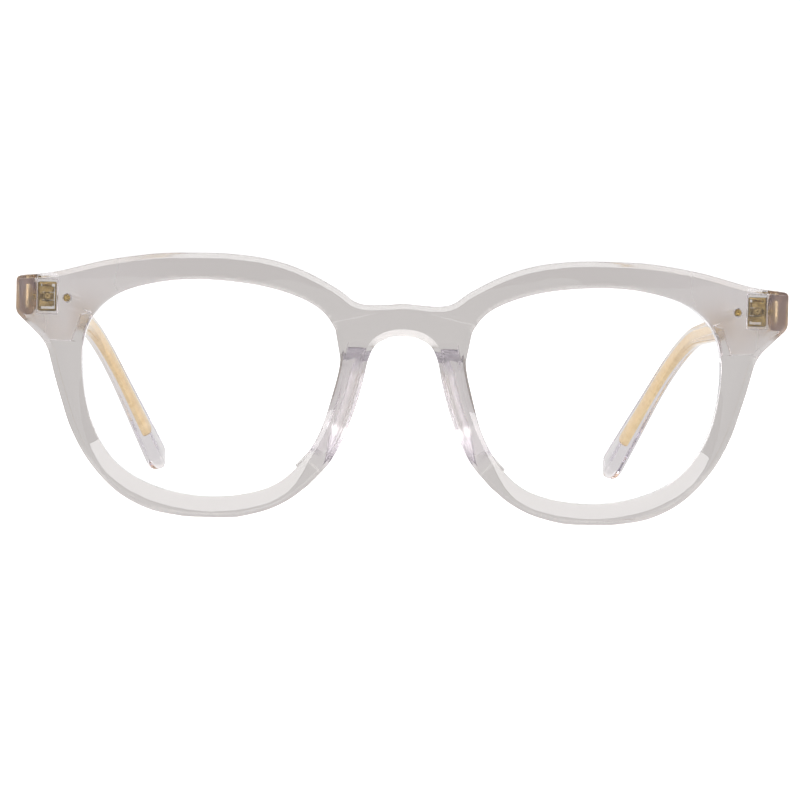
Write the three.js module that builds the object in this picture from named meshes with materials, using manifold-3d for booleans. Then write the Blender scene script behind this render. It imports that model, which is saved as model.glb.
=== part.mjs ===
// Crystal acetate glasses: a swept full-rim front with two lenses and bonded nose pads, and two
// folding temples on three-knuckle barrel hinges, each temple stiffened by a flat metal core wire.
//
// Millimetres. +X is the wearer's left, +Y runs back along the temples, +Z is up. The glasses stand
// open on the bottoms of the rims and on the temple tips, which all touch Z = 0. Every piece is
// drawn for the wearer's left with Y = 0 at the front of the bridge, and mirrored for the right.

import * as THREE from 'three';
import { mergeVertices } from 'three/addons/utils/BufferGeometryUtils.js';
import { TessellateModifier } from 'three/addons/modifiers/TessellateModifier.js';
import Module from 'manifold-3d';

const wasm = await Module();
wasm.setup();

// ---- Driving dimensions ---------------------------------------------------------------------

const OVERALL_DEPTH = 138;        // front of the bridge to the back of the temple tips
const FRONT_THICKNESS = 4;
const FRONT_SWEEP_RADIUS = 320;   // plan curve of the front
const EDGE_BEVEL = 0.45;
const LENS_BEVEL = 0.3;
const BAR_SIDES = 14;
const BEYOND = 100;               // reach of a cut that runs past the object
const FIT_GAP = 0.3;              // between pieces that are pressed or glued together
const PLAY = 0.2;                 // between the small pieces of the hinge
const BEND_EDGE = 11;             // longest triangle edge on a surface that is bent

const LENS_CENTRE = { x: 34.9, z: 23.5 };
const LENS_HALF = { x: 23.5, z: 19.7 };
const LENS_THICKNESS = 1.8;
const LENS_SIDES = 44;            // straight edges that its outline is drawn with
const GROOVE_DEPTH = 1;           // how far the groove goes into the rim
const LENS_BITE = 0.7;            // how far the lens goes into the groove

const PAD_DEPTH = 5;
const PAD_BASE_HALF = 2;
const PAD_CREST_HALF = 1;
const PAD_SPLAY = 1;              // how far the crest lies further out than the base
const PAD_SETBACK = 0.25;         // from the edge of the nose cut-out to the pad
const PAD_TOP = [5.5, 33.3];      // its line leaves the edge of the nose cut-out for here
const PAD_RINGS = [...spread(0.06, 0.75, 10), ...spread(0.79, 0.99, 8)];  // along its line
const PAD_FADE = 0.42;            // it deepens from its lower end to here
const PAD_BROW = [[27.3, 1], [29.3, 0.8], [31.3, 0.18], [33, 0]];  // share of its depth over Z
const PAD_END_DEPTH = 0.14;       // share of the full depth left at the ends

const BUTT_Y = 12.7;              // back of the hinge block, where the temple closes on it
const POCKET = { x: 65, z: 39.5, width: 4, height: 6.6, floor: 10.1 };
const LEAF_PLATE = { width: 3.4, height: 5.4, thickness: 0.9 };
const HINGE = { x: 65, y: 13.5, z: 39.5 };
const KNUCKLE_RADIUS = 1.35;
const KNUCKLE_HEIGHT = 1;
const KNUCKLE_PITCH = 2.55;       // between the two knuckles of the front leaf
const SCREW_RADIUS = 0.5;
const SCREW_HEAD = { radius: 0.95, height: 0.6, slotWidth: 0.3, slotDepth: 0.3 };
const STUD = { radius: 0.55, length: 0.8 };

const RIVET_HEAD_HEIGHT = 0.4;
const FRONT_RIVET = { x: 61.4, z: 39.3, radius: 0.65, head: 0.72, length: 5.6 };
const TEMPLE_RIVET_RADIUS = 0.55;
const TEMPLE_RIVET_HEAD = 1.1;
const TEMPLE_RIVETS = [
  { name: 'front', y: 17 },
  { name: 'rear', y: 21.6 },
];
const TEMPLE_RIVET_LENGTH = 2.9;

const TEMPLE_FACE_X = 67.15;      // inner face of the temple at the hinge
const TEMPLE_START = new THREE.Vector3(68.95, BUTT_Y - 1, 39.85);  // ahead of its butt, which is cut
const TEMPLE_BEND = new THREE.Vector3(62.6, 108, 31.9);
const TEMPLE_TIP = new THREE.Vector3(49.3, 137, 1.2);
const BEND_LEAD = 19;             // length of the bend before and after its corner
const TEMPLE_HEIGHT = { hinge: 7.3, waist: 4, tip: 6.4 };
const TEMPLE_THICKNESS = { hinge: 3.6, waist: 3.1, tip: 4.3 };
const WAIST = { from: 0.63, to: 0.74, tip: 1.02 };  // fractions of the temple's length
const TIP_ROUNDING = { start: 0.972, end: 0.06 };
const BEND_RINGS = spread(0.55, 0.85, 11);  // fractions of the temple's length, over its bend
const TEMPLE_LEAF = { thickness: 0.8, height: 5, start: 15.1, end: 23.6 };
const CORE_INSET = 0.15;          // the core wire lies nearer the inner face
const CORE = { thickness: 0.7, paddle: 4, strip: 1.6, paddleEnd: 0.09, stripStart: 0.17 };
const CORE_START = 0.014;         // fractions of the temple's length
const CORE_END = 0.92;
const ARM_START = 0.004;
const ARM_TIP_RINGS = [0.875, 0.91, 0.94, 0.97, 0.982, 0.991, 0.997, 1];

// ---- Solids ---------------------------------------------------------------------------------

function solid(geometry) {
  const bare = geometry.clone();
  bare.deleteAttribute('normal');
  bare.deleteAttribute('uv');
  const merged = mergeVertices(bare, 1e-4);
  return new wasm.Manifold(new wasm.Mesh({
    numProp: 3,
    vertProperties: new Float32Array(merged.attributes.position.array),
    triVerts: new Uint32Array(merged.index.array),
  }));
}

function geometryOf(body) {
  const mesh = body.getMesh();
  const geometry = new THREE.BufferGeometry();
  geometry.setAttribute('position', new THREE.BufferAttribute(mesh.vertProperties, 3));
  geometry.setIndex(new THREE.BufferAttribute(mesh.triVerts, 1));
  return geometry;
}

function box(low, high) {
  const size = high.map((value, axis) => value - low[axis]);
  const centre = high.map((value, axis) => (value + low[axis]) / 2);
  return solid(new THREE.BoxGeometry(...size).translate(...centre));
}

// Round bars along each axis, from low to high.
function barX(radius, low, high, y, z) {
  const bar = new THREE.CylinderGeometry(radius, radius, high - low, BAR_SIDES);
  return solid(bar.rotateZ(Math.PI / 2).translate((low + high) / 2, y, z));
}

function barY(radius, low, high, x, z) {
  const bar = new THREE.CylinderGeometry(radius, radius, high - low, BAR_SIDES);
  return solid(bar.translate(x, (low + high) / 2, z));
}

function barZ(radius, low, high, x, y) {
  const bar = new THREE.CylinderGeometry(radius, radius, high - low, BAR_SIDES);
  return solid(bar.rotateX(Math.PI / 2).translate(x, y, (low + high) / 2));
}

// A shape drawn in X and Z, extruded from Y = front to Y = back with bevelled edges.
function slab(shape, front, back, bevel) {
  const geometry = new THREE.ExtrudeGeometry(shape, {
    depth: back - front - 2 * bevel,
    bevelEnabled: bevel > 0,
    bevelThickness: bevel,
    bevelSize: bevel,
    bevelOffset: -bevel,
    bevelSegments: 1,
    curveSegments: 1,
  });
  return solid(geometry.rotateX(Math.PI / 2).translate(0, back - bevel, 0));
}

// Moves a solid back by the sweep of the front, after dividing its long edges.
function swept(body) {
  const fine = new TessellateModifier(BEND_EDGE, 12).modify(geometryOf(body).toNonIndexed());
  const position = fine.attributes.position;
  for (let i = 0; i < position.count; i += 1) {
    position.setY(i, position.getY(i) + sweepAt(position.getX(i)));
  }
  return solid(fine);
}

function sweepAt(x) {
  return (x * x) / (2 * FRONT_SWEEP_RADIUS);
}

// A closed rod along a path. stations are the fractions of the path at its rings, and place(t, c, s)
// gives the point of ring t whose direction from the middle has cosine c and sine s.
function rod(stations, sides, place) {
  const rings = stations.length - 1;
  const geometry = new THREE.CylinderGeometry(1, 1, 1, sides, rings);
  const position = geometry.attributes.position;
  const point = new THREE.Vector3();
  for (let i = 0; i < position.count; i += 1) {
    point.fromBufferAttribute(position, i);
    const ring = Math.round((point.y + 0.5) * rings);
    position.setXYZ(i, ...place(stations[ring], point.x, point.z).toArray());
  }
  const body = solid(geometry);
  return body.volume() > 0 ? body : solid(reversed(geometry));
}

function reversed(geometry) {
  const index = geometry.index.array;
  for (let i = 0; i < index.length; i += 3) {
    [index[i], index[i + 1]] = [index[i + 1], index[i]];
  }
  return geometry;
}

// The rounded rectangle of half sizes 1 and 1, at the direction with cosine c and sine s.
function squircle(c, s, power) {
  const reach = (Math.abs(c) ** power + Math.abs(s) ** power) ** (1 / power);
  return reach > 0 ? [c / reach, s / reach] : [0, 0];
}

function spread(from, to, count) {
  return Array.from({ length: count }, (_, i) => THREE.MathUtils.lerp(from, to, i / (count - 1)));
}

function along(points, divisions) {
  return new THREE.SplineCurve(points.map(([x, z]) => new THREE.Vector2(x, z))).getPoints(divisions);
}

// ---- Front ----------------------------------------------------------------------------------

const BROW = [[0, 39.7], [6, 39.3], [9, 39.9], [12.1, 42.1], [18.2, 45.2], [24.2, 47.1], [31.2, 48],
  [38.2, 48.1], [45.4, 47.8], [54.4, 46.4], [63.6, 44.1], [70.4, 43.2]];
const END_PIECE = [[70.9, 42.7], [70.9, 37], [70.5, 36.2]];
const CHEEK = [[65.1, 31], [63.9, 26.4], [62.4, 21.4], [60.3, 15.4], [57, 9.7], [51.9, 4.4],
  [46, 1.3], [40, 0.15], [36.9, 0]];
const UNDER_RIM = [[32.2, 0], [29, 0.3], [24, 1.65], [20, 3.7], [16.6, 6.4]];
const NOSE = [[16.6, 6.4], [13.1, 10.3], [10.9, 14.3], [9.3, 18.3], [8, 22.3], [7, 26.3],
  [6.3, 29.5], [5, 32], [2.7, 33.3], [0, 33.7]];
const LENS = [[11.4, 29.4], [12.7, 22.9], [15, 15.7], [18.9, 9.5], [24.8, 5.4], [34.9, 3.8],
  [44.9, 5.5], [52.2, 9.9], [56.7, 17.3], [58.5, 27], [57.3, 35], [52.3, 40.2], [43.4, 42.8],
  [34, 43.2], [23.9, 41.9], [16.1, 38.9], [12.4, 34.6]];

const BLOCK_EDGE = [[BEYOND, BEYOND], [40, BEYOND], [40, 36.4], [58.7, 36], [59.4, 33.8],
  [60.4, 31.4], [BEYOND, 31.4]];
const BLOCK_RAMP = [[40, 6.4], [60.5, BUTT_Y], [BEYOND, BUTT_Y], [BEYOND, 11.3], [71.3, 11.3],
  [55.4, 8]];                     // Y over X

function mirrorPoints(points) {
  return points.map((p) => new THREE.Vector2(-p.x, p.y)).reverse();
}

function frontShape() {
  const half = [
    ...along(BROW, 22),
    ...END_PIECE.map(([x, z]) => new THREE.Vector2(x, z)),
    ...along(CHEEK, 16),
    ...along(UNDER_RIM, 8).slice(0, -1),
    ...along(NOSE, 18),
  ];
  return new THREE.Shape([...half, ...mirrorPoints(half.slice(1, -1))]);
}

// The lens outline on the wearer's left, grown by a margin all round.
function lensShape(margin) {
  const grow = { x: 1 + margin / LENS_HALF.x, z: 1 + margin / LENS_HALF.z };
  const points = LENS.map(([x, z]) => new THREE.Vector2(
    LENS_CENTRE.x + (x - LENS_CENTRE.x) * grow.x,
    LENS_CENTRE.z + (z - LENS_CENTRE.z) * grow.z,
  ));
  const loop = new THREE.SplineCurve([points.at(-1), ...points, points[0], points[1]]);
  const spans = points.length + 2;
  const samples = spread(1 / spans, (1 + points.length) / spans, LENS_SIDES + 1);
  return new THREE.Shape(samples.slice(0, -1).map((t) => loop.getPoint(t)));
}

function bothSides(body) {
  return body.add(body.mirror([1, 0, 0]));
}

// The hinge pocket in the back of the block, with the blind hole for the stud of the leaf.
function pocketCut() {
  const half = { x: POCKET.width / 2, z: POCKET.height / 2 };
  const pocket = box(
    [POCKET.x - half.x, POCKET.floor, POCKET.z - half.z],
    [POCKET.x + half.x, BEYOND, POCKET.z + half.z],
  );
  const studEnd = POCKET.floor - STUD.length;
  const studHole = barY(STUD.radius + PLAY, studEnd, POCKET.floor + 1, POCKET.x, POCKET.z);
  return pocket.add(studHole);
}

// The thickened back of the end piece, which holds the hinge and squares up to the temple. It ramps
// up from the back of the rim.
function hingeBlock() {
  const region = new THREE.Shape(BLOCK_EDGE.map(([x, z]) => new THREE.Vector2(x, z)));
  const ramp = new THREE.Shape(BLOCK_RAMP.map(([x, y]) => new THREE.Vector2(x, y)));
  const profile = solid(new THREE.ExtrudeGeometry(ramp, { depth: BEYOND, bevelEnabled: false }));
  const outline = slab(frontShape(), 0, BUTT_Y, EDGE_BEVEL);
  const opening = slab(lensShape(0), 0, BEYOND, 0);
  return outline.intersect(slab(region, 0, BEYOND, 0)).intersect(profile).subtract(opening);
}

function frontFrame() {
  const blank = slab(frontShape(), 0, FRONT_THICKNESS, EDGE_BEVEL);
  const opening = slab(lensShape(0), -1, FRONT_THICKNESS + 1, 0);
  const grooveHalf = LENS_THICKNESS / 2 + FIT_GAP;
  const middle = FRONT_THICKNESS / 2;
  const groove = slab(lensShape(GROOVE_DEPTH), middle - grooveHalf, middle + grooveHalf, 0);
  const rims = blank.subtract(bothSides(opening.add(groove)));
  const holeEnd = BUTT_Y - FRONT_RIVET.length;
  const rivetHole = barY(FRONT_RIVET.radius + PLAY, holeEnd, BEYOND, FRONT_RIVET.x, FRONT_RIVET.z);
  return swept(rims).add(bothSides(hingeBlock())).subtract(bothSides(pocketCut().add(rivetHole)));
}

function lens() {
  const middle = FRONT_THICKNESS / 2;
  const half = LENS_THICKNESS / 2;
  return swept(slab(lensShape(LENS_BITE), middle - half, middle + half, LENS_BEVEL));
}

// The share of the pad's depth at a height, which falls away in three flat steps at its top.
function padBrow(z) {
  const after = PAD_BROW.findIndex(([level]) => level > z);
  if (after <= 0) {
    return after === 0 ? 1 : 0;
  }
  const [[low, atLow], [high, atHigh]] = [PAD_BROW[after - 1], PAD_BROW[after]];
  return THREE.MathUtils.mapLinear(z, low, high, atLow, atHigh);
}

function nosePad() {
  const line = [...NOSE.slice(0, 7), PAD_TOP].map(([x, z]) => new THREE.Vector2(x, z));
  const edge = new THREE.SplineCurve(line);
  return rod(PAD_RINGS, 12, (t, c, s) => {
    const foot = edge.getPointAt(t);
    const tangent = edge.getTangentAt(t);
    const [across, deep] = squircle(c, s, 4);
    const level = foot.y - tangent.x * (PAD_SETBACK + PAD_BASE_HALF * (1 + across));
    const deepening = THREE.MathUtils.smoothstep(t, 0, PAD_FADE) * padBrow(level);
    const fullness = Math.max(PAD_END_DEPTH, deepening);
    const depth = ((deep + 1) / 2) * PAD_DEPTH * fullness;
    const share = depth / PAD_DEPTH;
    const half = THREE.MathUtils.lerp(PAD_BASE_HALF, PAD_CREST_HALF, share);
    const offset = PAD_SETBACK + PAD_BASE_HALF + PAD_SPLAY * share + across * half;
    const x = foot.x + tangent.y * offset;
    const z = foot.y - tangent.x * offset;
    return new THREE.Vector3(x, FRONT_THICKNESS + FIT_GAP + sweepAt(x) + depth, z);
  });
}

// ---- Hinge ----------------------------------------------------------------------------------

const upperKnuckle = HINGE.z + KNUCKLE_PITCH / 2;
const lowerKnuckle = HINGE.z - KNUCKLE_PITCH / 2;

function knuckle(z, height, arm) {
  const low = z - height / 2;
  const high = z + height / 2;
  const barrel = barZ(KNUCKLE_RADIUS, low, high, HINGE.x, HINGE.y);
  const bore = barZ(SCREW_RADIUS + PLAY, low - 1, high + 1, HINGE.x, HINGE.y);
  return barrel.add(box([...arm.low, low], [...arm.high, high])).subtract(bore);
}

function frontHingeLeaf() {
  const back = POCKET.floor + PLAY + LEAF_PLATE.thickness;
  const half = { x: LEAF_PLATE.width / 2, z: LEAF_PLATE.height / 2 };
  const plate = box(
    [POCKET.x - half.x, POCKET.floor + PLAY, POCKET.z - half.z],
    [POCKET.x + half.x, back, POCKET.z + half.z],
  );
  const stud = barY(STUD.radius, POCKET.floor + PLAY - STUD.length, back, POCKET.x, POCKET.z);
  const arm = {
    low: [HINGE.x - KNUCKLE_RADIUS, back - 0.1],
    high: [HINGE.x + KNUCKLE_RADIUS, HINGE.y],
  };
  const knuckles = [upperKnuckle, lowerKnuckle].map((z) => knuckle(z, KNUCKLE_HEIGHT, arm));
  return plate.add(stud).add(knuckles[0]).add(knuckles[1]);
}

function templeHingeLeaf() {
  const outer = TEMPLE_FACE_X - FIT_GAP;
  const inner = outer - TEMPLE_LEAF.thickness;
  const half = TEMPLE_LEAF.height / 2;
  const plate = box([inner, TEMPLE_LEAF.start, HINGE.z - half], [outer, TEMPLE_LEAF.end, HINGE.z + half]);
  const height = KNUCKLE_PITCH - KNUCKLE_HEIGHT - 2 * PLAY;
  const arm = { low: [HINGE.x, HINGE.y], high: [outer, TEMPLE_LEAF.start + 0.5] };
  const middle = knuckle(HINGE.z, height, arm);
  const holes = TEMPLE_RIVETS.map(({ y }) => (
    barX(TEMPLE_RIVET_RADIUS + PLAY, inner - 1, outer + 1, y, HINGE.z)
  ));
  return plate.add(middle).subtract(holes[0]).subtract(holes[1]);
}

// The recess in the temple's inner face that takes the plate of its leaf.
function leafRecess() {
  const half = TEMPLE_LEAF.height / 2 + PLAY;
  return box(
    [HINGE.x - 5, TEMPLE_LEAF.start - PLAY, HINGE.z - half],
    [TEMPLE_FACE_X - FIT_GAP + PLAY, TEMPLE_LEAF.end + PLAY, HINGE.z + half],
  );
}

function hingeScrew() {
  const low = lowerKnuckle - KNUCKLE_HEIGHT / 2;
  const seat = upperKnuckle + KNUCKLE_HEIGHT / 2 + PLAY;
  const top = seat + SCREW_HEAD.height;
  const shank = barZ(SCREW_RADIUS, low, seat + 0.1, HINGE.x, HINGE.y);
  const head = barZ(SCREW_HEAD.radius, seat, top, HINGE.x, HINGE.y);
  const slotHalf = SCREW_HEAD.slotWidth / 2;
  const slot = box(
    [HINGE.x - 2, HINGE.y - slotHalf, top - SCREW_HEAD.slotDepth],
    [HINGE.x + 2, HINGE.y + slotHalf, top + 1],
  );
  return shank.add(head).subtract(slot);
}

// ---- Rivets ---------------------------------------------------------------------------------

// A rivet along +Z with a domed head above Z = 0 and its shank below.
function rivet(radius, head, length) {
  const dome = new THREE.QuadraticBezierCurve(
    new THREE.Vector2(head, 0.05),
    new THREE.Vector2(head * 0.8, RIVET_HEAD_HEIGHT),
    new THREE.Vector2(0, RIVET_HEAD_HEIGHT),
  ).getPoints(3);
  const profile = [
    new THREE.Vector2(0, -length),
    new THREE.Vector2(radius, -length),
    new THREE.Vector2(radius, 0),
    new THREE.Vector2(head, 0),
    ...dome,
  ];
  return new THREE.LatheGeometry(profile, 12).rotateX(Math.PI / 2);
}

function frontRivet() {
  const back = BUTT_Y + PLAY;
  const { radius, head, length } = FRONT_RIVET;
  const geometry = rivet(radius, head, length).rotateX(-Math.PI / 2);
  return solid(geometry.translate(FRONT_RIVET.x, back, FRONT_RIVET.z));
}

function templeRivet(y) {
  const seat = TEMPLE_FACE_X - FIT_GAP - TEMPLE_LEAF.thickness - PLAY;
  const geometry = rivet(TEMPLE_RIVET_RADIUS, TEMPLE_RIVET_HEAD, TEMPLE_RIVET_LENGTH).rotateY(-Math.PI / 2);
  return solid(geometry.translate(seat, y, HINGE.z));
}

function templeRivetHoles() {
  const end = TEMPLE_FACE_X - FIT_GAP - TEMPLE_LEAF.thickness - PLAY + TEMPLE_RIVET_LENGTH;
  const [front, rear] = TEMPLE_RIVETS.map(({ y }) => (
    barX(TEMPLE_RIVET_RADIUS + PLAY, TEMPLE_FACE_X - 1, end + PLAY, y, HINGE.z)
  ));
  return front.add(rear);
}

// ---- Temple ---------------------------------------------------------------------------------

const forward = TEMPLE_START.clone().sub(TEMPLE_BEND).normalize();
const downward = TEMPLE_TIP.clone().sub(TEMPLE_BEND).normalize();
const bendIn = TEMPLE_BEND.clone().addScaledVector(forward, BEND_LEAD);
const bendOut = TEMPLE_BEND.clone().addScaledVector(downward, BEND_LEAD);
const templePath = new THREE.CurvePath();
templePath.add(new THREE.LineCurve3(TEMPLE_START, bendIn));
templePath.add(new THREE.QuadraticBezierCurve3(bendIn, TEMPLE_BEND, bendOut));
templePath.add(new THREE.LineCurve3(bendOut, TEMPLE_TIP));

function templePoint(t, sideways, upwards) {
  const tangent = templePath.getTangent(t);
  const side = new THREE.Vector3(1, 0, 0).addScaledVector(tangent, -tangent.x).normalize();
  const up = new THREE.Vector3().crossVectors(side, tangent);
  return templePath.getPoint(t).addScaledVector(side, sideways).addScaledVector(up, upwards);
}

// The temple is deep at the hinge, slimmest before the bend and fuller again at the tip.
function templeSize(t) {
  const { smoothstep, lerp } = THREE.MathUtils;
  const beyond = Math.max(0, (t - TIP_ROUNDING.start) / (1 - TIP_ROUNDING.start));
  const rounding = Math.sqrt(Math.max(TIP_ROUNDING.end, 1 - beyond * beyond));
  return [TEMPLE_HEIGHT, TEMPLE_THICKNESS].map(({ hinge, waist, tip }) => {
    const slimmed = lerp(hinge, waist, smoothstep(t, 0, WAIST.from));
    return rounding * lerp(slimmed, tip, smoothstep(t, WAIST.to, WAIST.tip));
  });
}

// The core is a deep paddle at the hinge, which narrows to a strip.
function coreHeight(t) {
  const { mapLinear, clamp } = THREE.MathUtils;
  const height = mapLinear(t, CORE.paddleEnd, CORE.stripStart, CORE.paddle, CORE.strip);
  return clamp(height, CORE.strip, CORE.paddle);
}

function coreBody(start, end, gap) {
  const stations = [start, CORE.paddleEnd, CORE.stripStart, ...BEND_RINGS, end];
  return rod(stations, 8, (t, c, s) => {
    const [x, z] = squircle(c, s, 6);
    const halfHeight = coreHeight(t) / 2 + gap;
    return templePoint(t, x * (CORE.thickness / 2 + gap) - CORE_INSET, z * halfHeight);
  });
}

function coreWire() {
  return coreBody(CORE_START, CORE_END, 0).subtract(templeRivetHoles());
}

function temple() {
  const stations = [...spread(ARM_START, 0.48, 7), ...BEND_RINGS, ...ARM_TIP_RINGS];
  const arm = rod(stations, 16, (t, c, s) => {
    const [height, thickness] = templeSize(t);
    const [x, z] = squircle(c, s, 3.6);
    return templePoint(t, (x * thickness) / 2, (z * height) / 2);
  });
  const channel = coreBody(0, CORE_END + 0.002, PLAY);
  const butt = box([0, 0, 0], [BEYOND, BUTT_Y + FIT_GAP, BEYOND]);
  const floor = box([0, 0, -BEYOND], [BEYOND, 2 * BEYOND, 0]);
  const cuts = [channel, templeRivetHoles(), leafRecess(), butt, floor];
  return cuts.reduce((body, cut) => body.subtract(cut), arm);
}

// ---- Assembly -------------------------------------------------------------------------------

const finish = {
  crystal: { color: 0xd2ccc6, roughness: 0.08, metalness: 0, transparent: true, opacity: 0.55 },
  pad: { color: 0xc9c3c4, roughness: 0.12, metalness: 0, transparent: true, opacity: 0.6 },
  lens: { color: 0xf2f5fb, roughness: 0.02, metalness: 0, transparent: true, opacity: 0.25 },
  gold: { color: 0xd9b678, roughness: 0.3, metalness: 1 },
  core: { color: 0xe8cd9b, roughness: 0.35, metalness: 1 },
  screw: { color: 0xb7955a, roughness: 0.3, metalness: 1 },
};

const group = new THREE.Group();

function place(name, body, look) {
  const mesh = new THREE.Mesh(geometryOf(body), new THREE.MeshStandardMaterial(finish[look]));
  mesh.name = name;
  mesh.position.y = -OVERALL_DEPTH / 2;
  group.add(mesh);
}

function placePair(name, body, look) {
  place(`${name}_left`, body, look);
  place(`${name}_right`, body.mirror([1, 0, 0]), look);
}

place('front_frame', frontFrame(), 'crystal');
placePair('lens', lens(), 'lens');
placePair('nose_pad', nosePad(), 'pad');
placePair('front_hinge_leaf', frontHingeLeaf(), 'gold');
placePair('front_rivet', frontRivet(), 'gold');
placePair('hinge_screw', hingeScrew(), 'screw');
placePair('temple', temple(), 'crystal');
placePair('core_wire', coreWire(), 'core');
placePair('temple_hinge_leaf', templeHingeLeaf(), 'gold');
for (const { name, y } of TEMPLE_RIVETS) {
  placePair(`temple_rivet_${name}`, templeRivet(y), 'gold');
}

export default group;
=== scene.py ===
"""Crystal acetate blue light glasses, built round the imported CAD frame.

Lengths are millimetres unless they say otherwise. They are measured from the middle of the
glasses, the front of the bridge and the surface that the glasses stand on, and to_world() turns
them into metres in the row frame. Pieces are drawn for the wearer's left and mirrored.
"""

import math

import bmesh
import bpy
import numpy as np
from mathutils import Matrix, Vector


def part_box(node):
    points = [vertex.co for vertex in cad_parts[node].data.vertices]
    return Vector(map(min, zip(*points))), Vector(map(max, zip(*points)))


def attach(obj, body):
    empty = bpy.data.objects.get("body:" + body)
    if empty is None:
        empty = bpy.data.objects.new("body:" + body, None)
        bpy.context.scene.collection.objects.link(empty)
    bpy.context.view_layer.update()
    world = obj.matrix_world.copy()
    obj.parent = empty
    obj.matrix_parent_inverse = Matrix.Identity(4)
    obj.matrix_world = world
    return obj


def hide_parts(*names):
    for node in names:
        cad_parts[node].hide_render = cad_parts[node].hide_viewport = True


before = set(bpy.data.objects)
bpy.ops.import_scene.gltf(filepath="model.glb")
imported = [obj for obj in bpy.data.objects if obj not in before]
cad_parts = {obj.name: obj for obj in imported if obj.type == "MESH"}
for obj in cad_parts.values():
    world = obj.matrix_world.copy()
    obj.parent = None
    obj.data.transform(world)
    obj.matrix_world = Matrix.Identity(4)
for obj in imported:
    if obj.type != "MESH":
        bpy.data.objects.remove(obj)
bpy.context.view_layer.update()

MM = 0.001
FRONT_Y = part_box("front_frame")[0].y

# ---- Dimensions ----

FRONT_THICKNESS = 4
SWEEP_RADIUS = 320
LENS_THICKNESS = 1.8
LENS_SEAT = 0.1                   # how far its edge is let into the rim
LENS_BULGE = 0.3
LENS_EDGE_EASE = 0.12
LENS_RINGS, LENS_MIDDLE = 26, 0.04  # rings on each face, and the share at which they start
LENS_STRIDE = 3                   # points of the opening to one point of its edge

BROW = [(0, 39.7), (6, 39.3), (9, 39.9), (12.1, 42.1), (18.2, 45.2), (24.2, 47.1), (31.2, 48),
        (38.2, 48.1), (45.4, 47.8), (54.4, 46.4), (63.6, 44.1), (70.4, 43.2)]
END_PIECE = [(70.9, 43.1), (70.9, 36.55)]
CHEEK = [(65.1, 31), (63.9, 26.4), (62.4, 21.4), (60.3, 15.4), (57, 9.7), (51.9, 4.4),
         (46, 1.3), (40, 0.15), (36.9, 0)]
UNDER_RIM = [(32.2, 0), (29, 0.3), (24, 1.65), (20, 3.7), (16.6, 6.4)]
NOSE = [(16.6, 6.4), (13.1, 10.3), (10.9, 14.3), (9.3, 18.3), (8, 22.3), (7, 26.3),
        (6.3, 29.5), (5, 32), (2.7, 33.3), (0, 33.7)]
OPENING = [(11.4, 29.4), (12.7, 22.9), (15, 15.7), (18.9, 9.5), (24.8, 5.4), (34.9, 3.8),
           (44.9, 5.5), (52.2, 9.9), (56.7, 17.3), (58.5, 27), (57.3, 35), (52.3, 40.2),
           (43.4, 42.8), (34, 43.2), (23.9, 41.9), (16.1, 38.9), (12.4, 34.6)]
LENS_CENTRE = (34.9, 23.5)

# Points of the outline and the points of the opening that lie across the rim from them.
ACROSS = [
    ((0, 39.7), (13.1, 36)), ((9, 39.9), (14.3, 37.3)), ((18.2, 45.2), (18.9, 40.1)),
    ((31.2, 48), (31.5, 43.2)), ((45.4, 47.8), (45, 42.5)), ((54.4, 46.4), (51, 40.9)),
    ((63.6, 44.2), (54.2, 38.9)), ((70.8, 43.1), (55.6, 37.4)), ((70.8, 36.6), (57.2, 35)),
    ((65.5, 31.5), (58.1, 31.3)), ((63.9, 26.4), (58.5, 27)), ((60.3, 15.4), (56, 15.8)),
    ((51.9, 4.4), (50, 8.3)), ((40, 0.15), (39.4, 4.3)), ((29, 0.3), (30, 4.1)),
    ((16.6, 6.4), (19.5, 8.9)), ((10.9, 14.3), (15, 15.7)), ((8, 22.3), (12.7, 22.9)),
    ((6.3, 29.5), (11.4, 29.6)), ((5, 32), (11.5, 31.3)), ((2.7, 33.3), (11.8, 32.8)),
    ((0, 33.7), (12.3, 34.3)),
]

# Width and depth of the bevel on the outer front edge, by the point of the outline.
OUTER_BEVEL = [
    ((0, 39.7), 0.9, 0.45), ((63.6, 44.2), 0.9, 0.45), ((70.8, 43.1), 0.55, 0.35),
    ((70.8, 36.6), 0.55, 0.35), ((65.1, 31), 1.2, 0.5), ((60.3, 15.4), 1.2, 0.5),
    ((51.9, 4.4), 0.7, 0.4), ((36.9, 0), 0.5, 0.4), ((20, 3.7), 0.6, 0.4),
    ((10.9, 14.3), 0.6, 0.4), ((7, 26.3), 0.7, 0.6), ((5, 32), 1.2, 2.4),
    ((2.7, 33.3), 1.4, 3.2), ((0, 33.7), 1.4, 3.3),
]

# Width and depth of the facet round the front of the opening, by the point of the opening.
INNER_FACET = [
    ((11.6, 30.5), 0.9, 0.35), ((12.7, 22.9), 1.4, 0.45), ((15, 15.7), 0.9, 0.35),
    ((17.4, 11.3), 0.9, 0.35), ((19.5, 8.9), 1.7, 0.55), ((21.7, 7.1), 2.3, 0.72),
    ((24.8, 5.4), 2.6, 0.8), ((34.9, 3.8), 2.65, 0.8), ((44.9, 5.5), 2.65, 0.8),
    ((52.2, 9.9), 2.55, 0.78), ((55.6, 14.2), 2, 0.62), ((57.6, 20.5), 1.1, 0.38),
    ((58.5, 27), 0.45, 0.25), ((43.4, 42.8), 0.3, 0.2), ((16.1, 38.6), 0.3, 0.2),
    ((12.4, 34.2), 0.5, 0.25),
]

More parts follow.
